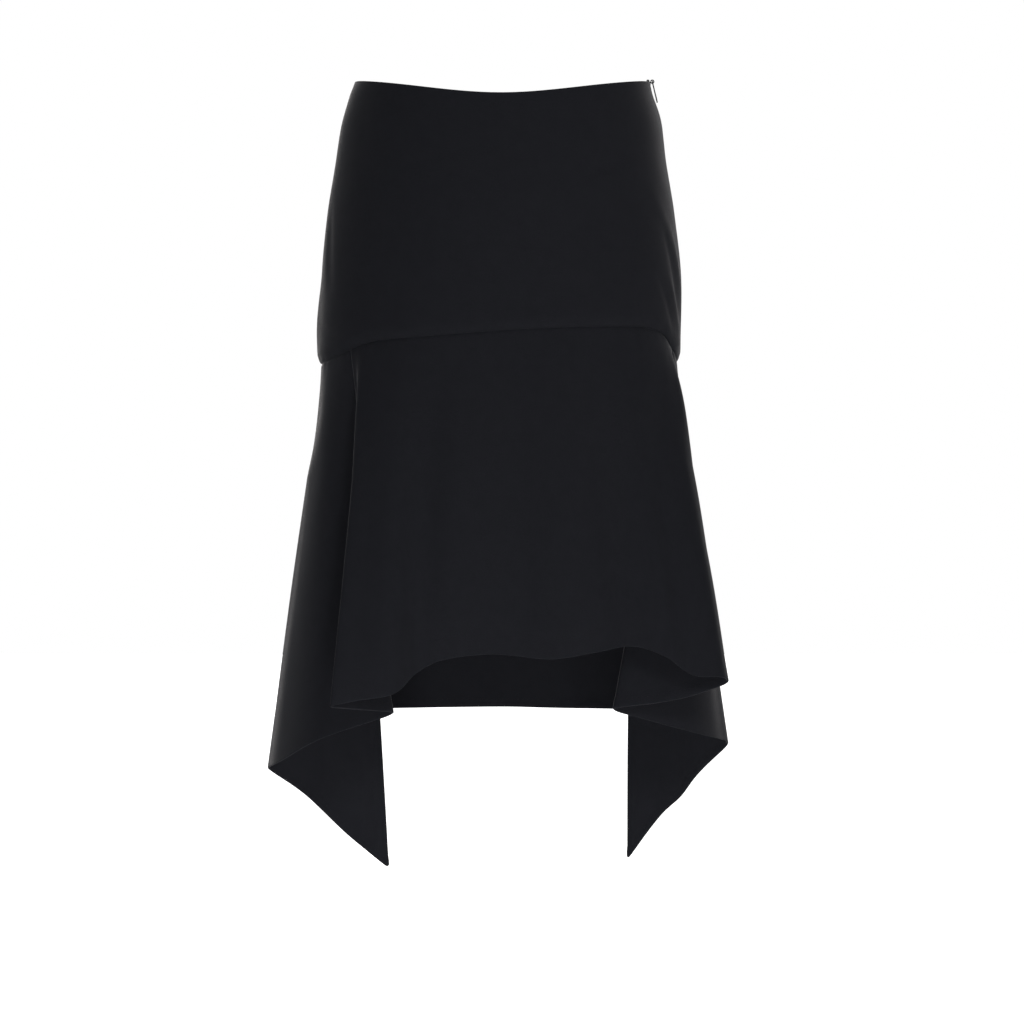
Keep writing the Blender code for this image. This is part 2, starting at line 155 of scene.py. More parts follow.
# How finely the cloth is cut up. The lengths and the girth are rough, and only set the mesh's size.
ROW_STEP = 4.0
COLUMN_STEP = 3.2
YOKE_LENGTH = 250.0
YOKE_GIRTH = 930.0
FLOUNCE_LENGTH = 345.0
FOLD_COLUMNS = 14
LEAST_COLUMNS = 8
CURVE_POINTS = 160
EDGE_ROWS = (0.0, 0.1, 0.3, 0.6, 1.2, 2.2, 3.5)

# How full a fold's turn is, the largest share of a stretch of cloth that it takes up, and how far
# below the seam the flounce leaves the yoke's ring
FULLNESS = 0.75
TURN_SHARE = 0.42
SNAP_REACH = 20.0

# How far the cloth dips at its seams, and how far from them
SIDE_GROOVE = 0.5
YOKE_GROOVE = 0.6
GROOVE_REACH = 1.3

# How wide the turnings are, which show on the inside only, and over what width they begin
HEM_TURNING = 9.0
SIDE_TURNING = 11.0
SEAM_TURNING = 10.0
WAIST_TURNING = 30.0
HEM_STEP = 0.9
TURNING_STEP = 1.5

# The least share of the cloth's thickness at its rounded edge
EDGE_SHARE = 0.02

Sewing = namedtuple("Sewing", "inset lean length pitch thread")
# Rows of stitches on the inside: how far from the edge, how far each one leans down, how long it
# is, how far on the next one starts, and the thread's radius
BLIND_HEM = Sewing(7.8, 1.6, 1.2, 5.0, 0.14)
WAIST_ROW = Sewing(27.5, 0.0, 2.3, 3.0, 0.17)
OVERLOCK = Sewing(10.2, 1.8, 1.0, 1.9, 0.14)

StitchRing = namedtuple("StitchRing", "share rise width")
# A stitch's rings along its length, with how far each rises above the cloth and how wide it is, in
# the thread's radius. Both ends dip into the cloth.
STITCH_RINGS = (
    StitchRing(0.00, -0.90, 0.35),
    StitchRing(0.18, 0.35, 0.90),
    StitchRing(0.50, 0.60, 1.00),
    StitchRing(0.82, 0.35, 0.90),
    StitchRing(1.00, -0.90, 0.35),
)
STITCH_SIDES = 6

YokeCrease = namedtuple("YokeCrease", "angle share end_angle end_share width height")
# Creases on the yoke, as the angle and the share of the way down at both ends, with half the width
# and the height, which is negative for a trough
YOKE_CREASES = (
    YokeCrease(66, 0.40, 78, 0.68, 10, 0.8),
    YokeCrease(71, 0.54, 80, 0.92, 5, -1.3),
    YokeCrease(75.5, 0.52, 85, 0.94, 4, 1.3),
    YokeCrease(66, 0.76, 78, 1.00, 5, -1.1),
    YokeCrease(71, 0.74, 84, 1.00, 4, 1.3),
    YokeCrease(90, 0.05, 90, 0.20, 9, 1.2),
    YokeCrease(-90, 0.68, -90, 1.00, 12, 1.8),
    YokeCrease(-80, 0.40, -74, 0.80, 7, -1.2),
    YokeCrease(-86, 0.84, -62, 0.97, 8, -0.9),
    YokeCrease(-70, 0.30, -40, 0.42, 16, -0.6),
    YokeCrease(62, 0.28, 35, 0.40, 15, -0.6),
    YokeCrease(-30, 0.60, 30, 0.66, 24, -0.6),
    YokeCrease(4, 0.40, 16, 0.47, 4, 0.25),
    YokeCrease(-20, 0.80, 38, 0.76, 18, 0.5),
    YokeCrease(96, 0.66, 118, 0.84, 9, -1.4),
    YokeCrease(98, 0.80, 126, 0.93, 8, -1.1),
    YokeCrease(-98, 0.68, -124, 0.84, 10, -1.3),
    YokeCrease(150, 0.20, 210, 0.24, 12, -1.0),
    YokeCrease(140, 0.32, 190, 0.34, 14, -0.8),
    YokeCrease(168, 0.86, 215, 0.92, 16, -0.9),
)

FlounceCrease = namedtuple("FlounceCrease", "row share end_row end_share width height")
# Creases on the flounce, in the same way, by the row of the fold table that each end follows. An
# end beyond the hem leaves the crease open there.
FLOUNCE_CREASES = (
    FlounceCrease(0.50, 0.00, 0.50, 0.40, 5, -2.4),
    FlounceCrease(2.3, 0.10, 2.8, 1.30, 15, 2.6),
    FlounceCrease(3.9, 0.05, 4.2, 1.40, 16, -2.4),
    FlounceCrease(5.0, 0.00, 5.2, 1.00, 18, 2.0),
    FlounceCrease(6.35, 0.15, 6.7, 1.40, 20, -4.2),
    FlounceCrease(7.5, 0.05, 7.5, 1.20, 19, 2.8),
    FlounceCrease(8.7, 0.20, 8.8, 1.30, 14, -3.0),
    FlounceCrease(10.1, 0.05, 10.3, 1.30, 14, 2.4),
    FlounceCrease(10.75, 0.20, 10.8, 1.30, 12, -2.4),
    FlounceCrease(11.8, 0.00, 11.9, 1.00, 16, 3.0),
    FlounceCrease(12.4, 0.00, 12.4, 0.30, 6, 1.3),
    FlounceCrease(13.0, 0.00, 13.0, 0.62, 12, 4.6),
    FlounceCrease(13.0, 0.35, 13.0, 0.95, 12, 2.0),
    FlounceCrease(14.3, 0.30, 14.4, 1.20, 12, 1.4),
    FlounceCrease(15.5, 0.10, 15.7, 0.90, 11, -1.4),
    FlounceCrease(16.4, 0.05, 16.5, 1.20, 14, 1.8),
    FlounceCrease(18.4, 0.20, 18.6, 1.20, 13, -1.8),
    FlounceCrease(20.2, 0.35, 20.0, 1.20, 11, 1.5),
    FlounceCrease(21.5, 0.25, 21.5, 1.20, 12, -1.5),
    FlounceCrease(22.6, 0.05, 22.7, 0.90, 14, -2.2),
    FlounceCrease(23.5, 0.15, 23.7, 1.30, 18, 2.6),
    FlounceCrease(24.6, 0.10, 24.5, 1.20, 16, -2.8),
    FlounceCrease(25.6, 0.00, 25.5, 0.95, 15, 2.2),
    FlounceCrease(26.5, 0.20, 26.4, 1.30, 17, -2.0),
    FlounceCrease(27.5, 0.15, 27.5, 1.20, 14, -2.2),
    FlounceCrease(29.4, 0.30, 29.5, 1.20, 11, 1.4),
    FlounceCrease(30.5, 0.30, 30.6, 1.20, 12, -1.5),
    FlounceCrease(31.6, 0.10, 31.7, 1.20, 14, 1.8),
    FlounceCrease(32.6, 0.25, 32.6, 1.20, 13, -1.5),
    FlounceCrease(33.0, 0.20, 33.0, 0.85, 14, 1.8),
    FlounceCrease(33.2, 0.00, 33.2, 0.28, 18, -3.0),
)

# How sharply a crease fades towards its ends
CREASE_TAPER = 1.2

Ripple = namedtuple("Ripple", "around down phase height")
# Unevenness of the cloth all over: its wavelengths round and down, a phase and a height
RIPPLES = (
    Ripple(233, 411, 0.4, 0.40),
    Ripple(117, -557, 2.1, 0.22),
    Ripple(71, 279, 4.0, 0.10),
    Ripple(-47, 193, 1.1, 0.05),
)
# How far from its edges the cloth is calmer, and how much nearer it may be uneven at the waist
CALM_REACH = 30.0
WAIST_UNEVEN = 8.0

Pucker = namedtuple("Pucker", "count phase height")
# The puckers that the seam draws up: how many go once round, a phase and a height
PUCKERS = (Pucker(31, 0.3, 0.15), Pucker(53, 1.9, 0.16), Pucker(82, 4.4, 0.10))
# How far from the seam the puckers fade, and within how much of it they rise
PUCKER_REACH = 9.0
PUCKER_START = 1.5

Cut = namedtuple("Cut", "piece width length area hangs_from")
# The cloth as it was cut flat, in metres and square metres, and the pieces that each hangs from
CUTS = (
    Cut("front_yoke", 0.45, 0.27, 0.102, "back_yoke_cloth"),
    Cut("back_yoke", 0.48, 0.27, 0.113, "front_yoke_cloth"),
    Cut("front_flounce", 0.57, 0.35, 0.133, "front_yoke_cloth"),
    Cut("back_flounce", 0.68, 0.46, 0.161, "back_yoke_cloth"),
    Cut("left_gore", 0.27, 0.49, 0.073, "front_yoke_cloth back_yoke_cloth"),
    Cut("right_gore", 0.31, 0.50, 0.089, "front_yoke_cloth back_yoke_cloth"),
)

# How wide the zip's metal is rounded at its edges, in metres
SOFT_EDGE = 0.00015

# The zip's teeth: the drops of their two ends, how far apart they are, how far inside the cloth's
# middle, how far each reaches from the seam and grips past it, and its radius
TEETH_TOP = 10.0
ZIP_END = 190.0
TOOTH_PITCH = 1.5
TOOTH_INSET = 2.3
TOOTH_REACH = 2.3
TOOTH_GRIP = 0.5
TOOTH_RADIUS = 0.36

# How far inside the cloth's middle the tapes' stitches lie. Their own inset is an angle here.
TAPE_INSET = 1.9
TAPE_ROW = Sewing(1.9, 0.0, 2.2, 2.9, 0.16)

# The photograph's view: where the camera stands in metres, its focal length in pixels of the
# photograph's frame, its sensor's width in millimetres, and how far it sees in metres
CAMERA_PLACE = (0.0085, -3.5, -0.405)
FOCAL_PIXELS = 3707.6
FRAME_PIXELS = 1024
SENSOR = 36.0
FAR_CLIP = 50

# The floor: how far below the origin and how far each way it reaches, in metres
FLOOR_DROP = 1.0
FLOOR_REACH = 12.0

# The strength of the light from the room and from the backdrop, and where one turns into the other,
# as the Y part of its direction
ROOM_LIGHT = 0.17
BACKDROP_LIGHT = 1.5
BACKDROP_STARTS = 0.1
BACKDROP_FULL = 0.6

WHITE = (1.0, 1.0, 1.0)
WARM = (1.0, 0.94, 0.89)
SkirtLight = namedtuple("SkirtLight", "name place size power colour target spread")
# Soft lights, with places and sizes in metres, power in watts, and a spread in degrees
LIGHTS = (
    SkirtLight("left_softbox", (-0.95, 2.7, 0.3), (1.0, 2.0), 47, WARM, (0, 0, -0.36), 180),
    SkirtLight("right_softbox", (1.7, 2.1, -0.1), (1.2, 2.2), 24, WARM, (0, 0, -0.36), 180),
    SkirtLight("right_fill", (2.4, -0.6, -0.75), (0.8, 0.8), 4.5, WARM, (0.2, 0, -0.5), 180),
    SkirtLight("key_softbox", (0.9, -3.0, 1.3), (0.6, 0.6), 1.8, WHITE, (0, 0, 0.05), 36),
    SkirtLight("low_bounce", (0.0, -0.55, -0.98), (1.2, 0.3), 5, WHITE, (0, 0, -0.7), 180),
)


def hermite(start, leave, end, arrive, t):
    """The smooth curve between two values with the given slopes, at t from 0 to 1."""
    return (
        start * (1 + 2 * t) * (1 - t) ** 2
        + leave * t * (1 - t) ** 2
        + end * t**2 * (3 - 2 * t)
        + arrive * t**2 * (t - 1)
    )


def curve_through(knots, values, at):
    """Values at the given places on a smooth curve that does not overshoot its knots."""
    knots = np.asarray(knots, float)
    values = np.asarray(values, float)
    steps = np.diff(knots)
    slopes = np.diff(values) / steps
    tangents = np.zeros_like(values)
    tangents[0], tangents[-1] = slopes[0], slopes[-1]
    same_way = slopes[:-1] * slopes[1:] > 0
    total = slopes[:-1] + slopes[1:]
    mean = 2 * slopes[:-1] * slopes[1:] / np.where(same_way, total, 1)
    tangents[1:-1] = np.where(same_way, mean, 0)
    at = np.clip(at, knots[0], knots[-1])
    i = np.clip(np.searchsorted(knots, at, side="right") - 1, 0, len(steps) - 1)
    t = (at - knots[i]) / steps[i]
    leave, arrive = tangents[i] * steps[i], tangents[i + 1] * steps[i]
    return hermite(values[i], leave, values[i + 1], arrive, t)


def smooth_step(value):
    value = np.clip(value, 0, 1)
    return value * value * (3 - 2 * value)


def wrapped(angle):
    """The same angle from -180 to 180."""
    return (angle + 180) % 360 - 180


def seam_drop(angle):
    return curve_through([p.angle for p in SEAM_LINE], [p.drop for p in SEAM_LINE], wrapped(angle))


def waist_drop(angle):
    """How far the waist edge lies below the origin."""
    forward = np.clip(np.cos(np.radians(angle)), 0, None)
    beside = np.clip(1 - np.abs(wrapped(angle) - SIDE_SEAM) / RISE_REACH, 0, 1)
    return FRONT_DIP * forward**DIP_SHARPNESS - ZIP_RISE * beside


def body_point(angle, drop, inset=0.0):
    """A point of the yoke's middle surface, this far inside it."""
    drops = [r.drop for r in YOKE_RINGS]
    half = curve_through(drops, [r.half for r in YOKE_RINGS], drop) - inset
    front = curve_through(drops, [r.front for r in YOKE_RINGS], drop) - inset
    back = curve_through(drops, [r.back for r in YOKE_RINGS], drop) - inset
    side_way, front_way = np.sin(np.radians(angle)), np.cos(np.radians(angle))
    depth = np.where(front_way > 0, front, back)
    power = np.abs(side_way / half) ** SQUARENESS + np.abs(front_way / depth) ** SQUARENESS
    radius = power ** (-1 / SQUARENESS)
    centre = curve_through(drops, [r.centre for r in YOKE_RINGS], drop)
    level = -drop * np.ones_like(radius)
    return np.stack([centre + radius * side_way, -radius * front_way, level], axis=-1)


def yoke_point(angle, share):
    """A point of the yoke, from its waist edge at share 0 to its seam at 1."""
    top, low = waist_drop(angle), seam_drop(angle)
    drop = top + (low - top) * share
    above = np.clip((low - drop) / ROLL_HEIGHT, 0, 1)
    return body_point(angle, drop, ROLL_IN * (1 - above) ** 2)


def unit(vectors):
    return vectors / np.maximum(np.linalg.norm(vectors, axis=-1, keepdims=True), 1e-9)


def outward(grid):
    """Each point's normal on a grid of rows by columns that closes round."""
    across = np.roll(grid, -1, axis=1) - np.roll(grid, 1, axis=1)
    return unit(np.cross(np.gradient(grid, axis=0), across))


def spline(points, shares):
    """A smooth curve through a few points, with the shares of its length as its knots."""
    lengths = np.linalg.norm(np.diff(points[:, :2], axis=0), axis=1)
    knots = np.concatenate([[0], np.cumsum(lengths)]) / lengths.sum()
    ends = np.concatenate(
        [2 * points[:1] - points[1:2], points, 2 * points[-1:] - points[-2:-1]]
    )
    gaps = np.concatenate([[knots[1]], np.diff(knots), [1 - knots[-2]]])
    i = np.clip(np.searchsorted(knots, shares, side="right") - 1, 0, len(knots) - 2)
    t = ((shares - knots[i]) / gaps[i + 1])[:, None]
    before, start, end, after = ends[i], ends[i + 1], ends[i + 2], ends[i + 3]
    width = gaps[i + 1][:, None]
    leave = width * (end - before) / (gaps[i][:, None] + width)
    arrive = width * (after - start) / (gaps[i + 2][:, None] + width)
    return hermite(start, leave, end, arrive, t)


def stretches():
    """The runs of cloth between folds, each as the fold numbers at and between its ends."""
    count = len(FLOUNCE_FOLDS)
    folds = [i for i in range(count) if FLOUNCE_FOLDS[i].turn]
    runs = []
    for first, last in zip(folds, folds[1:] + [folds[0] + count]):
        runs.append(list(range(first, last + 1)))
    return runs


def stretch_lines(run):
    """The seam end, hem end and row number of many lines of cloth across one run."""
    rows = [FLOUNCE_FOLDS[i % len(FLOUNCE_FOLDS)] for i in run]
    hem = np.array([(r.x, r.y, -r.drop) for r in rows], float)
    angles = np.unwrap([r.angle for r in rows], period=360)
    shares = np.linspace(0, 1, CURVE_POINTS)
    packed = spline(np.column_stack([hem, angles, run]), shares)
    return yoke_point(wrapped(packed[:, 3]), 1.0), packed[:, :3], packed[:, 4]


def sample(line, lengths, at):
    """Points of a line at these distances along it."""
    return np.stack([np.interp(at, lengths, line[:, k]) for k in range(line.shape[1])], axis=1)


def section(share, runs, lines, counts):
    """The flounce's closed middle line at this share of the way down, with row numbers."""
    level = [np.column_stack([top + share * (hem - top), row]) for top, hem, row in lines]
    along = [
        np.concatenate([[0], np.cumsum(np.linalg.norm(np.diff(p[:, :3], axis=0), axis=1))])
        for p in level
    ]
    turns = []
    for i, run in enumerate(runs):
        room = TURN_SHARE * min(along[i][-1], along[i - 1][-1])
        turns.append(min(FLOUNCE_FOLDS[run[0]].turn, room))
    points = []
    for i, line in enumerate(level):
        leave, arrive = turns[i], turns[(i + 1) % len(runs)]
        at = np.linspace(leave, along[i][-1] - arrive, counts[i] + 1)
        points.append(sample(line, along[i], at))
    ring = []
    for i, stretch in enumerate(points):
        before, corner = points[i - 1][-1].copy(), level[i][0]
        if i == 0:
            before[3] -= len(FLOUNCE_FOLDS)
        handle_a = before + FULLNESS * (corner - before)
        handle_b = stretch[0] + FULLNESS * (corner - stretch[0])
        t = np.linspace(0, 1, FOLD_COLUMNS + 1)[1:-1, None]
        ring.append(
            before * (1 - t) ** 3
            + 3 * handle_a * t * (1 - t) ** 2
            + 3 * handle_b * t**2 * (1 - t)
            + stretch[0] * t**3
        )
        ring.append(stretch)
    return np.concatenate(ring)


def row_shares(length):
    """Row places from 0 to 1 down a length, with finer rows near both edges."""
    rows = np.linspace(0, length, round(length / ROW_STEP) + 1)
    fine = np.array(EDGE_ROWS)
    between = rows[(rows > fine[-1] + 1) & (rows < length - fine[-1] - 1)]
    return np.concatenate([fine, between, length - fine[::-1]]) / length


def along_rows(grid):
    """How far each point lies along its row."""
    steps = np.linalg.norm(np.diff(grid, axis=1), axis=-1)
    return np.concatenate([np.zeros((len(grid), 1)), np.cumsum(steps, axis=1)], axis=1)


def down_columns(grid):
    """How far each point lies down its column."""
    steps = np.linalg.norm(np.diff(grid, axis=0), axis=-1)
    return np.concatenate([np.zeros((1, grid.shape[1])), np.cumsum(steps, axis=0)], axis=0)


def unevenness(around, down):
    """How far the ripples lift the cloth."""
    height = 0
    for r in RIPPLES:
        turn = around / r.around + down / r.down
        height = height + r.height * np.sin(2 * math.pi * turn + r.phase)
    return height


def plan_angle(points):
    """The angle round the body of each point, about the middle at the seam's level."""
    across = points[..., 0] - YOKE_RINGS[-2].centre
    return np.arctan2(across, -points[..., 1])


def puckers(points, from_seam):
    """How far the seam under the yoke draws up the cloth beside it."""
    turn = plan_angle(points)
    height = sum(p.height * np.sin(p.count * turn + p.phase) for p in PUCKERS)
    return height * np.exp(-from_seam / PUCKER_REACH) * smooth_step(from_seam / PUCKER_START)


def crease_lift(creases, place, shares, arc):
    """How far creases lift the cloth. Place is each column's coordinate, the same in all rows."""
    lift = np.zeros_like(arc)
    for start, share, end, end_share, width, height in creases:
        reach = (shares - share) / (end_share - share)
        taper = np.sin(math.pi * np.clip(reach, 0, 1)) ** CREASE_TAPER
        centre = start + (end - start) * reach
        for r in np.nonzero(taper > 0)[0]:
            middle = np.interp(centre[r], place, arc[r])
            lift[r] += height * taper[r] * np.exp(-(((arc[r] - middle) / width) ** 2))
    return lift


def add_mesh(name, points, faces, finish):
    """A smooth object in the scene, from points in millimetres."""
    mesh = bpy.data.meshes.new(name)
    mesh.from_pydata((points * MM).tolist(), [], faces)
    mesh.validate()
    mesh.materials.append(finish)
    mesh.shade_smooth()
    made = bpy.data.objects.new(name, mesh)
    bpy.context.scene.collection.objects.link(made)
    return made


def add_wall(name, outer, inner, finish, across, down):
    """A closed sheet between two grids of rows by columns, with the weave's grain as its UV map."""
    rows, columns = outer.shape[:2]
    points = np.concatenate([outer.reshape(-1, 3), inner.reshape(-1, 3)])
    behind = rows * columns
    index = np.arange(behind).reshape(rows, columns)
    a, b = index[:-1, :-1].ravel(), index[:-1, 1:].ravel()
    d, e = index[1:, :-1].ravel(), index[1:, 1:].ravel()
    faces = np.concatenate([np.stack([a, d, e, b], 1), behind + np.stack([a, b, e, d], 1)])
    edge = np.concatenate([index[0], index[1:, -1], index[-1, -2::-1], index[-2:0:-1, 0]])
    following = np.roll(edge, -1)
    rim = np.stack([edge, following, behind + following, behind + edge], 1)
    made = add_mesh(name, points, np.concatenate([faces, rim]).tolist(), finish)
    grain = made.data.uv_layers.new(name="grain")
    both = np.stack([np.tile(across.ravel(), 2), np.tile(down.ravel(), 2)], 1) * MM
    corners = np.empty(len(made.data.loops), np.int32)
    made.data.loops.foreach_get("vertex_index", corners)
    grain.data.foreach_set("uv", both[corners].ravel().astype(np.float32))
    return made


def rounded(distance, thickness):
    """Half the wall's thickness this far from an edge, which is rounded."""
    half = thickness / 2
    inside = np.clip(1 - distance / half, 0, 1)
    return half * np.sqrt(np.clip(1 - inside**2, EDGE_SHARE, 1))


def turned_in(turning, distance, step=TURNING_STEP):
    """The extra thickness of a turning this wide, at this distance from its edge."""
    return TURNING * smooth_step((turning - distance) / step)


class Sheet:
    """A closed ring of cloth: its middle surface with its creases on, and its normals."""

    def __init__(self, grid, place, shares, creases, hem_below):
        closed = np.concatenate([grid, grid[:, :1]], axis=1)
        arc = along_rows(closed)
        total, arc = arc[:, -1:], arc[:, :-1]
        self.down = down_columns(grid)
        self.up = self.down[-1] - self.down
        lift = crease_lift(creases, place, shares, arc)
        calm = np.clip(np.minimum(arc, total - arc) / CALM_REACH, 0, 1)
        from_edge = self.down if hem_below else np.minimum(self.up, self.down + WAIST_UNEVEN)
        calm = calm * np.clip(from_edge / CALM_REACH, 0, 1)
        lift += unevenness(arc[len(arc) // 2], self.down) * smooth_step(calm)
        self.grid = grid + outward(grid) * lift[..., None]
        self.normals = outward(self.grid)


class Piece:
    """One piece of a ring of cloth, drawn in along its side seams."""

    def __init__(self, sheet, chosen, groove, from_seam):
        self.normals = sheet.normals[:, chosen]
        self.down, self.up = sheet.down[:, chosen], sheet.up[:, chosen]
        grid = sheet.grid[:, chosen].copy()
        arc = along_rows(grid)
        self.beside = np.minimum(arc, arc[:, -1:] - arc)
        self.across = arc - arc[:, [len(chosen) // 2]]
        along = groove * np.exp(-((self.beside / GROOVE_REACH) ** 2))
        under = YOKE_GROOVE * np.exp(-((from_seam[:, chosen] / GROOVE_REACH) ** 2))
        grid -= self.normals * (along + under)[..., None]
        self.grid = grid

    def wall(self, name, outer_half, inner_half, finish):
        """The piece's cloth, this far to the outside and to the inside of its middle surface."""
        self.outer = self.grid + self.normals * outer_half[..., None]
        self.inner = self.grid - self.normals * inner_half[..., None]
        return add_wall(name, self.outer, self.inner, finish, self.across, self.down)

    def inside_line(self, distance, height):
        """The line on the inner face at one height above or below an edge, and its normals."""
        both = np.concatenate([self.inner, -self.normals], axis=-1)
        line = np.empty(both.shape[1:])
        for c in range(len(line)):
            order = np.argsort(distance[:, c])
            for k in range(both.shape[-1]):
                line[c, k] = np.interp(height, distance[order, c], both[order, c, k])
        return line

    def sew(self, name, distance, row, thread):
        """One row of stitches on the inner face, along an edge."""
        upper = self.inside_line(distance, row.inset + row.lean / 2)
        lower = self.inside_line(distance, row.inset - row.lean / 2)
        steps = np.linalg.norm(np.diff(upper[:, :3], axis=0), axis=1)
        lengths = np.concatenate([[0], np.cumsum(steps)])
        starts = np.arange(row.pitch, lengths[-1] - row.pitch, row.pitch)
        first = sample(upper, lengths, starts)
        last = sample(lower, lengths, starts + row.length)
        return add_stitches(name, first[:, :3], last[:, :3], unit(first[:, 3:]), thread, row.thread)


def make_yoke(sheet, name, chosen, finish, thread):
    """One piece of the yoke and the rows of stitches on it."""
    piece = Piece(sheet, chosen, SIDE_GROOVE, sheet.up)
    piece.grid += piece.normals * puckers(piece.grid, piece.up)[..., None]
    thick = CLOTH + turned_in(SIDE_TURNING, piece.beside)
    thick += turned_in(SEAM_TURNING, piece.up) + turned_in(WAIST_TURNING, piece.down)
    edge = rounded(piece.down, CLOTH)
    outer_half = np.minimum(edge, CLOTH / 2)
    inner_half = np.minimum(edge + 2 * piece.down, thick - CLOTH / 2)
    made = piece.wall(name + "_cloth", outer_half, inner_half, finish)
    sewn = [
        piece.sew(name + "_waist_stitches", piece.down, WAIST_ROW, thread),
        piece.sew(name + "_overlock", piece.up, OVERLOCK, thread),
    ]
    return made, sewn


def make_flounce_piece(sheet, name, chosen, finish, thread):
    """One piece of the flounce and the rows of stitches on it."""
    piece = Piece(sheet, chosen, SIDE_GROOVE, sheet.down)
    piece.grid += piece.normals * puckers(piece.grid, piece.down)[..., None]
    thick = CLOTH + turned_in(HEM_TURNING, piece.up, HEM_STEP)
    thick += turned_in(SIDE_TURNING, piece.beside) + turned_in(SEAM_TURNING, piece.down)
    edge = rounded(piece.up, CLOTH)
    outer_half = np.minimum(edge, CLOTH / 2)
    inner_half = np.minimum(edge + piece.up, thick - CLOTH / 2)
    made = piece.wall(name + "_cloth", outer_half, inner_half, finish)
    sewn = [
        piece.sew(name + "_hem_stitches", piece.up, BLIND_HEM, thread),
        piece.sew(name + "_overlock", piece.down, OVERLOCK, thread),
    ]
    return made, sewn


def add_stitches(name, first, last, up, finish, radius):
    """Short lengths of thread, each a tapered tube whose ends dip into the cloth."""
    along = last - first
    side = unit(np.cross(along, up))
    sides = range(STITCH_SIDES)
    points = []
    for ring in STITCH_RINGS:
        centre = first + along * ring.share + up * radius * ring.rise
        for k in sides:
            turn = 2 * math.pi * k / STITCH_SIDES
            offset = (side * math.cos(turn) + up * math.sin(turn)) * radius * ring.width
            points.append(centre + offset)
    points = np.stack(points, axis=1)
    rings = [[r * STITCH_SIDES + k for k in sides] for r in range(len(STITCH_RINGS))]
    one = []
    for near, far in zip(rings, rings[1:]):
        for k in sides:
            following = (k + 1) % STITCH_SIDES
            one.append((near[k], near[following], far[following], far[k]))
    one += [tuple(rings[0][::-1]), tuple(rings[-1])]
    per_stitch = points.shape[1]
    faces = []
    for i in range(len(points)):
        faces += [tuple(i * per_stitch + v for v in face) for face in one]
    return add_mesh(name, points.reshape(-1, 3), faces, finish)


def make_yokes(finish, thread):
    """Both pieces of the yoke, from a ring that starts at the wearer's right side seam."""
    shares = row_shares(YOKE_LENGTH)
    steps = round(YOKE_GIRTH / COLUMN_STEP)
    turned = np.linspace(0, 360, steps + steps % 2 + 1)[:-1]
    grid = np.stack([yoke_point(wrapped(turned - SIDE_SEAM), share) for share in shares])
    creases = []
    for crease in YOKE_CREASES:
        start = (crease.angle + SIDE_SEAM) % 360
        end = start + wrapped(crease.end_angle - crease.angle)
        creases.append(crease._replace(angle=start, end_angle=end))
    sheet = Sheet(grid, turned, shares, creases, hem_below=False)
    half = len(turned) // 2
    made = {}
    for name, first in (("front_yoke", 0), ("back_yoke", half)):
        chosen = np.arange(first, first + half + 1) % len(turned)
        made[name] = make_yoke(sheet, name, chosen, finish, thread)
    return made


def make_flounces(finish, thread):
    """The four pieces of the flounce, from a ring that starts at the table's first fold."""
    runs = stretches()
    lines = [stretch_lines(run) for run in runs]
    counts = []
    for _, hem, _ in lines:
        wide = np.linalg.norm(np.diff(hem, axis=0), axis=1).sum()
        counts.append(max(LEAST_COLUMNS, round(wide / COLUMN_STEP)))
    shares = row_shares(FLOUNCE_LENGTH)
    packed = np.stack([section(share, runs, lines, counts) for share in shares])
    grid, place = packed[..., :3], packed[-1, :, 3]
    at_seam = yoke_point(np.degrees(plan_angle(grid[0])), 1.0) - grid[0]
    grid += at_seam * np.clip(1 - down_columns(grid) / SNAP_REACH, 0, 1)[..., None]
    sheet = Sheet(grid, place, shares, FLOUNCE_CREASES, hem_below=True)
    edges, column = {}, 0
    for run, count in zip(runs, counts):
        edges[run[0]] = column + FOLD_COLUMNS // 2 - 1
        column += FOLD_COLUMNS + count
    starts = [i for i, row in enumerate(FLOUNCE_FOLDS) if row.piece]
    made = {}
    for first, last in zip(starts, starts[1:] + starts[:1]):
        start, end = edges[first], edges[last]
        if end <= start:
            end += grid.shape[1]
        chosen = np.arange(start, end + 1) % grid.shape[1]
        name = FLOUNCE_FOLDS[first].piece
        made[name] = make_flounce_piece(sheet, name, chosen, finish, thread)
    return made


def make_teeth(finish):
    """The zip's two rows of teeth, which mesh along the left seam on the inside."""
    rows = []
    for side, offset in ((-1, 0.0), (1, TOOTH_PITCH / 2)):
        drops = np.arange(TEETH_TOP + offset, ZIP_END, TOOTH_PITCH)
        seam = np.full(len(drops), SIDE_SEAM)
        place = body_point(seam, drops, TOOTH_INSET)
        first, last = place.copy(), place.copy()
        first[:, 1] += side * TOOTH_REACH
        last[:, 1] -= side * TOOTH_GRIP
        rows.append((first, last))
    first = np.concatenate([rows[0][0], rows[1][0]])
    last = np.concatenate([rows[0][1], rows[1][1]])
    inwards = np.tile([-1.0, 0, 0], (len(first), 1))
    return add_stitches("zip_teeth", first, last, inwards, finish, TOOTH_RADIUS)


def make_tape_stitches(finish):
    """The rows of stitches that hold the zip's tapes to the seam's turnings."""
    drops = np.arange(TEETH_TOP, ZIP_END, TAPE_ROW.pitch)
    firsts, lasts = [], []
    for side in (-1, 1):
        away = np.full(len(drops), SIDE_SEAM + side * TAPE_ROW.inset)
        firsts.append(body_point(away, drops, TAPE_INSET))
        lasts.append(body_point(away, drops + TAPE_ROW.length, TAPE_INSET))
    first, last = np.concatenate(firsts), np.concatenate(lasts)
    inwards = np.tile([-1.0, 0, 0], (len(first), 1))
    return add_stitches("zip_tape_stitches", first, last, inwards, finish, TAPE_ROW.thread)


def node(tree, kind, **settings):
    """A shader node, with its inputs and its own settings by name."""
    made = tree.nodes.new(kind)
    for name, value in settings.items():
        if name in made.inputs:
            made.inputs[name].default_value = value
        else:
            setattr(made, name, value)
    return made


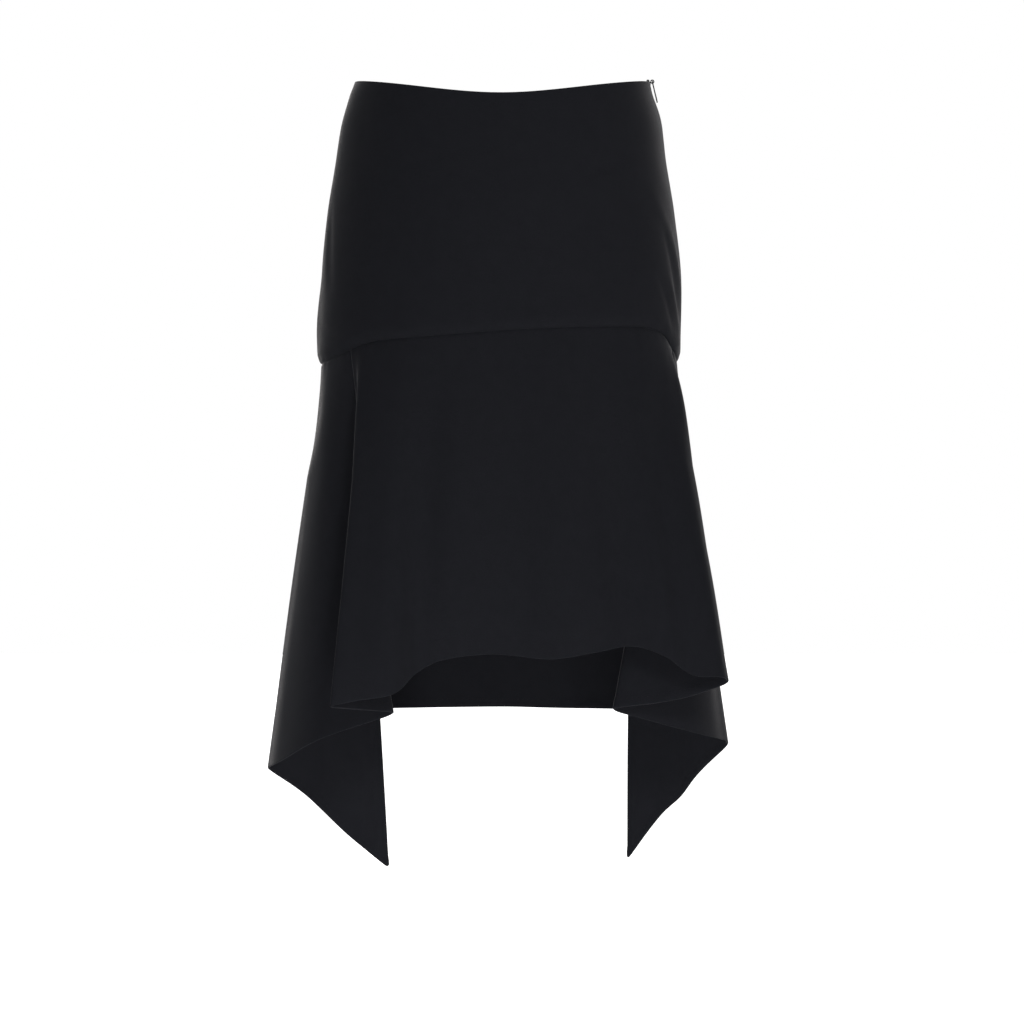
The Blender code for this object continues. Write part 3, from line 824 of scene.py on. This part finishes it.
def new_finish(name):
    """A material, its node tree and its shader."""
    made = bpy.data.materials.new(name)
    made.use_nodes = True
    return made, made.node_tree, made.node_tree.nodes["Principled BSDF"]


def texture(tree, kind, source, **settings):
    """A texture of this kind on a vector output."""
    made = node(tree, kind, **settings)
    tree.links.new(source, made.inputs["Vector"])
    return made


def object_place(tree):
    return node(tree, "ShaderNodeTexCoord").outputs["Object"]


def turned_by(tree, source, rotation):
    """A vector output turned by these angles in radians."""
    turned = node(tree, "ShaderNodeMapping", Rotation=rotation)
    tree.links.new(source, turned.inputs["Vector"])
    return turned.outputs["Vector"]


def dye(tree, surface, share, dark, light, low=0.0, high=1.0):
    """Colours the surface between two tones by a share from a texture."""
    ramp = node(tree, "ShaderNodeValToRGB")
    for stop, place, colour in zip(ramp.color_ramp.elements, (low, high), (dark, light)):
        stop.position = place
        stop.color = (*colour, 1)
    tree.links.new(share, ramp.inputs["Fac"])
    tree.links.new(ramp.outputs["Color"], surface.inputs["Base Color"])


def roughen(tree, surface, share, low, high):
    """Varies the surface's roughness between two values."""
    spread = node(tree, "ShaderNodeMapRange", **{"To Min": low, "To Max": high})
    tree.links.new(share, spread.inputs["Value"])
    tree.links.new(spread.outputs["Result"], surface.inputs["Roughness"])


def bump(tree, surface, height, strength, distance, below=None):
    """Bumps the surface by up to this distance in metres, over another bump if there is one."""
    made = node(tree, "ShaderNodeBump", Strength=strength, Distance=distance)
    tree.links.new(height, made.inputs["Height"])
    if below:
        tree.links.new(below.outputs["Normal"], made.inputs["Normal"])
    tree.links.new(made.outputs["Normal"], surface.inputs["Normal"])
    return made


def crepe():
    """Matte black crepe: a fine pebbly weave, a faint nap at grazing angles, a little uneven."""
    made, tree, surface = new_finish("black_crepe")
    surface.inputs["Specular IOR Level"].default_value = 0.10
    surface.inputs["Sheen Weight"].default_value = 0.12
    surface.inputs["Sheen Roughness"].default_value = 0.30
    surface.inputs["Sheen Tint"].default_value = (0.95, 0.95, 1.0, 1)
    grain = node(tree, "ShaderNodeUVMap", uv_map="grain").outputs["UV"]
    noise, wave = "ShaderNodeTexNoise", "ShaderNodeTexWave"
    # Broad and fine unevenness of the dye
    broad = texture(tree, noise, object_place(tree), Scale=70.0, Detail=4.0, Roughness=0.7)
    fine = texture(tree, noise, grain, Scale=700.0, Detail=3.0, Roughness=0.7)
    mixed = node(tree, "ShaderNodeMix", data_type="RGBA", Factor=0.7)
    tree.links.new(broad.outputs["Fac"], mixed.inputs["A"])
    tree.links.new(fine.outputs["Fac"], mixed.inputs["B"])
    dark, light = (0.0092, 0.0098, 0.0128), (0.0134, 0.0140, 0.0178)
    dye(tree, surface, mixed.outputs["Result"], dark, light, 0.30, 0.70)
    roughen(tree, surface, fine.outputs["Fac"], 0.78, 0.94)
    # The weave: fine threads both ways, broken up by the crepe's pebbles
    weave = node(tree, "ShaderNodeMath", operation="ADD")
    for side, angle in enumerate((0.0, math.pi / 2)):
        turned = turned_by(tree, grain, (0, 0, angle))
        threads = texture(tree, wave, turned, Scale=330.0, Distortion=2.2, Detail=2.0)
        tree.links.new(threads.outputs["Fac"], weave.inputs[side])
    pebbles = texture(tree, noise, grain, Scale=760.0, Detail=3.0, Roughness=0.62)
    woven = bump(tree, surface, weave.outputs["Value"], 0.35, 0.00012)
    bump(tree, surface, pebbles.outputs["Fac"], 0.5, 0.00025, below=woven)
    return made


def tape_finish():
    """The zip's tape: a closer, flatter weave in a slanting rib."""
    made, tree, surface = new_finish("woven_tape")
    surface.inputs["Roughness"].default_value = 0.75
    surface.inputs["Specular IOR Level"].default_value = 0.3
    surface.inputs["Sheen Weight"].default_value = 0.12
    turned = turned_by(tree, object_place(tree), (0.6, 0.5, 0.7))
    rib = texture(tree, "ShaderNodeTexWave", turned, Scale=420.0, Distortion=0.6, Detail=1.0)
    dye(tree, surface, rib.outputs["Fac"], (0.008, 0.008, 0.009), (0.018, 0.018, 0.020))
    bump(tree, surface, rib.outputs["Fac"], 0.5, 0.0002)
    return made


def thread_finish():
    """Black polyester thread, twisted."""
    made, tree, surface = new_finish("thread")
    surface.inputs["Roughness"].default_value = 0.7
    surface.inputs["Specular IOR Level"].default_value = 0.12
    place = object_place(tree)
    twist = texture(tree, "ShaderNodeTexWave", place, Scale=900.0, Distortion=1.0)
    dye(tree, surface, twist.outputs["Fac"], (0.010, 0.010, 0.012), (0.018, 0.018, 0.021))
    bump(tree, surface, twist.outputs["Fac"], 0.4, 0.0001)
    return made


def metal_finish():
    """Black lacquered zinc, a little worn."""
    made, tree, surface = new_finish("lacquered_zinc")
    surface.inputs["Metallic"].default_value = 0.6
    place = object_place(tree)
    speckle = texture(tree, "ShaderNodeTexNoise", place, Scale=900.0, Detail=3.0).outputs["Fac"]
    dye(tree, surface, speckle, (0.016, 0.016, 0.018), (0.034, 0.034, 0.036), 0.35, 0.75)
    roughen(tree, surface, speckle, 0.24, 0.45)
    bump(tree, surface, speckle, 0.15, 0.00008)
    return made


def make_camera():
    """The photograph's view, level and straight from the front."""
    data = bpy.data.cameras.new("camera")
    data.sensor_width = SENSOR
    data.lens = SENSOR * FOCAL_PIXELS / FRAME_PIXELS
    data.clip_end = FAR_CLIP
    camera = bpy.data.objects.new("camera", data)
    camera.location = CAMERA_PLACE
    camera.rotation_euler = (math.pi / 2, 0, 0)
    bpy.context.scene.collection.objects.link(camera)
    bpy.context.scene.camera = camera


def add_light(wanted):
    """A soft light, turned towards its target."""
    data = bpy.data.lights.new(wanted.name, "AREA")
    data.color = wanted.colour
    data.spread = math.radians(wanted.spread)
    data.shape = "RECTANGLE"
    data.size, data.size_y = wanted.size
    data.energy = wanted.power
    light = bpy.data.objects.new(wanted.name, data)
    light.location = wanted.place
    way = Vector(wanted.place) - Vector(wanted.target)
    light.rotation_euler = way.to_track_quat("Z", "Y").to_euler()
    bpy.context.scene.collection.objects.link(light)


def make_world():
    """A white room. The backdrop behind the skirt is brighter than the room in front of it."""
    world = bpy.data.worlds.new("studio")
    world.use_nodes = True
    tree = world.node_tree
    link = tree.links.new
    room = tree.nodes["Background"]
    room.inputs["Color"].default_value = (*WHITE, 1)
    place = node(tree, "ShaderNodeTexCoord")
    split = node(tree, "ShaderNodeSeparateXYZ")
    depth = node(
        tree,
        "ShaderNodeMapRange",
        interpolation_type="SMOOTHSTEP",
        **{
            "From Min": BACKDROP_STARTS,
            "From Max": BACKDROP_FULL,
            "To Min": ROOM_LIGHT,
            "To Max": BACKDROP_LIGHT,
        },
    )
    link(place.outputs["Generated"], split.inputs["Vector"])
    link(split.outputs["Y"], depth.inputs["Value"])
    link(depth.outputs["Result"], room.inputs["Strength"])
    # What the camera sees of it is plain white
    seen = node(tree, "ShaderNodeBackground", Color=(*WHITE, 1), Strength=1.0)
    path = node(tree, "ShaderNodeLightPath")
    either = node(tree, "ShaderNodeMixShader")
    link(path.outputs["Is Camera Ray"], either.inputs["Fac"])
    link(room.outputs["Background"], either.inputs[1])
    link(seen.outputs["Background"], either.inputs[2])
    link(either.outputs["Shader"], tree.nodes["World Output"].inputs["Surface"])
    bpy.context.scene.world = world
    bpy.context.scene.view_settings.view_transform = "Standard"


def pale_floor():
    """A pale matte finish that the camera sees as white."""
    made, tree, surface = new_finish("pale_floor")
    surface.inputs["Base Color"].default_value = (0.8, 0.8, 0.8, 1)
    surface.inputs["Roughness"].default_value = 0.9
    surface.inputs["Emission Color"].default_value = (*WHITE, 1)
    path = node(tree, "ShaderNodeLightPath")
    tree.links.new(path.outputs["Is Camera Ray"], surface.inputs["Emission Strength"])
    return made


def make_floor():
    reach = FLOOR_REACH
    corners = [(-reach, -reach, 0), (reach, -reach, 0), (reach, reach, 0), (-reach, reach, 0)]
    mesh = bpy.data.meshes.new("floor")
    mesh.from_pydata(corners, [], [(0, 1, 2, 3)])
    mesh.materials.append(pale_floor())
    floor = bpy.data.objects.new("floor", mesh)
    floor.location = (0, 0, -FLOOR_DROP)
    bpy.context.scene.collection.objects.link(floor)


def ride(piece):
    """Lets a piece move with the skirt."""
    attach(piece, "skirt")


def finish_node(name, finish, bevel=0.0):
    """Gives a solid of the frame its finish, and soft edges."""
    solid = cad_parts[name]
    solid.data.materials.clear()
    solid.data.materials.append(finish)
    if bevel:
        edges = solid.modifiers.new("soft edges", "BEVEL")
        edges.width = bevel
        edges.segments = 2
        edges.limit_method = "ANGLE"


def dress_skirt():
    """The cloth, its stitches and the zip."""
    cloth, tape, thread, metal = crepe(), tape_finish(), thread_finish(), metal_finish()
    made = {**make_yokes(cloth, thread), **make_flounces(cloth, thread)}
    for cut in CUTS:
        piece, sewn = made[cut.piece]
        ride(piece)
        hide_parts(cut.piece)
        for row in sewn:
            ride(row)
    ride(make_teeth(thread))
    ride(make_tape_stitches(thread))
    for name in ("zip_tape_front", "zip_tape_back"):
        finish_node(name, tape)
    for name in ("zip_slider", "zip_pull"):
        finish_node(name, metal, SOFT_EDGE)


def main():
    dress_skirt()
    make_camera()
    make_world()
    make_floor()
    for wanted in LIGHTS:
        add_light(wanted)


main()
